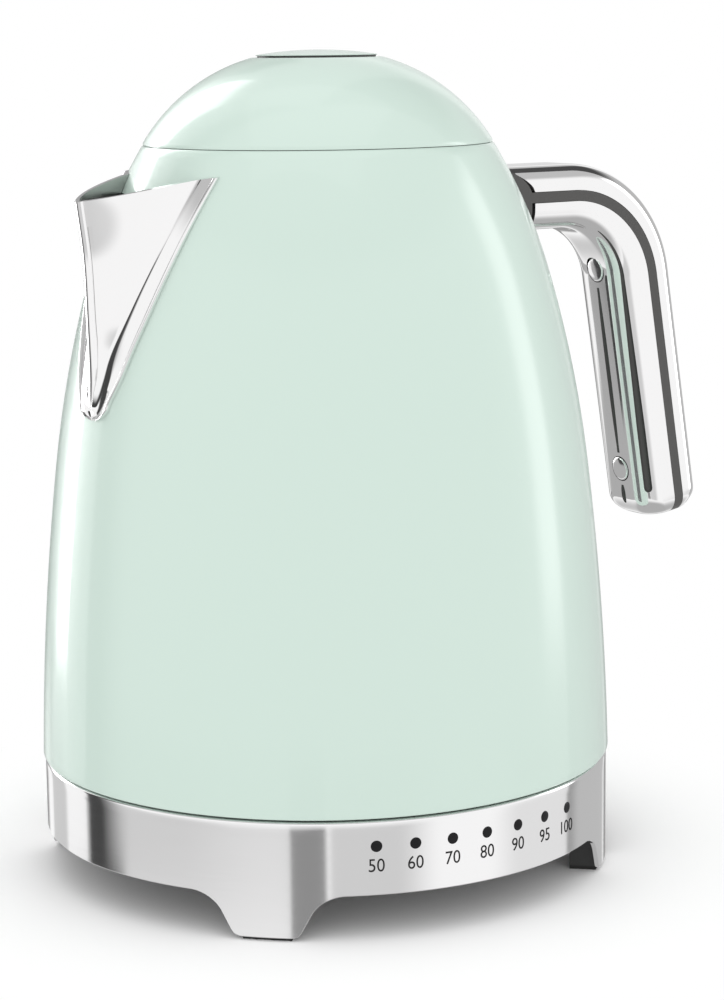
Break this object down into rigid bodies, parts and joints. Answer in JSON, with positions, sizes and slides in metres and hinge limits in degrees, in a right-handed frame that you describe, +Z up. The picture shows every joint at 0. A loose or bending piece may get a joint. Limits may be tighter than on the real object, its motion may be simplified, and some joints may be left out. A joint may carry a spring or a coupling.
{
  "type": "electric jug kettle with power base",
  "caption": "Retro electric jug kettle with a domed lid, open V spout and hook handle, standing on a round polished power base with temperature indicator dots.",
  "frame": {"origin": "on the ground plane under the jug's upright axis", "axes": "+Z up, -X towards the spout, +X towards the handle, -Y towards the indicator dots"},
  "size_m": [0.2247, 0.1724, 0.2433],
  "materials": {
    "mint_paint": "glossy enamel",
    "polished_steel": "polished",
    "dark_grey_plastic": "satin moulded",
    "black_plastic": "fine moulded",
    "black_rubber": "matt",
    "grey_silicone": "matt",
    "brushed_steel": "brushed",
    "cast_aluminium": "cast",
    "contact_brass": "plain",
    "clear_window": "clear moulded",
    "circuit_board": "lacquered",
    "indicator_black": "clear over black",
    "relay_blue": "moulded"
  },
  "bodies": {
    "base": {"base_band": "polished_steel", "base_deck": "black_plastic", "base_floor": "black_plastic", "foot_blocks": "black_plastic", "foot_pads": "black_rubber", "base_screws": "brushed_steel", "connector_hub": "black_plastic", "hub_contacts": "contact_brass", "indicator_carrier": "black_plastic", "indicator_lenses": "indicator_black", "button_board": "circuit_board", "control_board": "circuit_board", "power_relay": "relay_blue", "cord_bush": "black_rubber"},
    "start_button": {"start_button": "polished_steel"},
    "temperature_button": {"temperature_button": "polished_steel"},
    "coupler": {"coupler": "black_plastic", "coupler_contacts": "contact_brass"},
    "jug": {"jug_shell": "mint_paint", "under_cover": "black_plastic", "jug_floor": "brushed_steel", "heat_plate": "cast_aluminium", "heating_element": "brushed_steel", "cutout_control": "black_plastic", "temperature_probe": "brushed_steel", "probe_seal": "grey_silicone", "neck_collar": "dark_grey_plastic", "spout": "polished_steel", "gauge_window": "clear_window", "gauge_gasket": "grey_silicone", "handle_core": "dark_grey_plastic", "handle_outer_shell": "polished_steel", "handle_inner_shell": "polished_steel", "handle_plugs": "polished_steel", "handle_screws": "brushed_steel", "handle_mount_screws": "brushed_steel", "hinge_block": "dark_grey_plastic", "hinge_pin": "brushed_steel"},
    "filter": {"filter_frame": "dark_grey_plastic", "filter_mesh": "brushed_steel"},
    "lid": {"lid_shell": "mint_paint", "lid_liner": "dark_grey_plastic", "lid_seal": "grey_silicone", "hinge_arm": "brushed_steel", "hinge_arm_screws": "brushed_steel", "button_spring": "brushed_steel", "latch_spring": "brushed_steel"},
    "lid_button": {"lid_button": "mint_paint"},
    "lid_latch": {"lid_latch": "dark_grey_plastic"}
  },
  "joints": [
    {"name": "jug_lift", "type": "slide", "parent": "base", "child": "coupler", "axis": [0, 0, 1], "range_m": [0, 0.06]},
    {"name": "jug_swivel", "type": "hinge", "parent": "coupler", "child": "jug", "pos_m": [0, 0, 0.04], "axis": [0, 0, 1], "continuous": true},
    {"name": "lid_swing", "type": "hinge", "parent": "jug", "child": "lid", "pos_m": [0.05562, 0, 0.2155], "axis": [0, 1, 0], "range_deg": [0, 80]},
    {"name": "lid_button_press", "type": "slide", "parent": "lid", "child": "lid_button", "axis": [0, 0, -1], "range_m": [0, 0.003], "stiffness_N_per_m": 600, "springref_m": -0.003, "deforming": ["button_spring"]},
    {"name": "latch_draw", "type": "slide", "parent": "lid", "child": "lid_latch", "axis": [1, 0, 0], "range_m": [0, 0.003], "deforming": ["latch_spring"]},
    {"name": "filter_pull", "type": "slide", "parent": "jug", "child": "filter", "axis": [1, 0, 0], "range_m": [0, 0.015]},
    {"name": "start_press", "type": "slide", "parent": "base", "child": "start_button", "axis": [-0.9877, 0.1564, 0], "range_m": [0, 0.0012], "stiffness_N_per_m": 800, "springref_m": -0.0012},
    {"name": "temperature_press", "type": "slide", "parent": "base", "child": "temperature_button", "axis": [-0.9877, -0.1564, 0], "range_m": [0, 0.0012], "stiffness_N_per_m": 800, "springref_m": -0.0012}
  ],
  "couplings": [
    {"joint": "latch_draw", "follows": "lid_button_press", "ratio": 1}
  ]
}
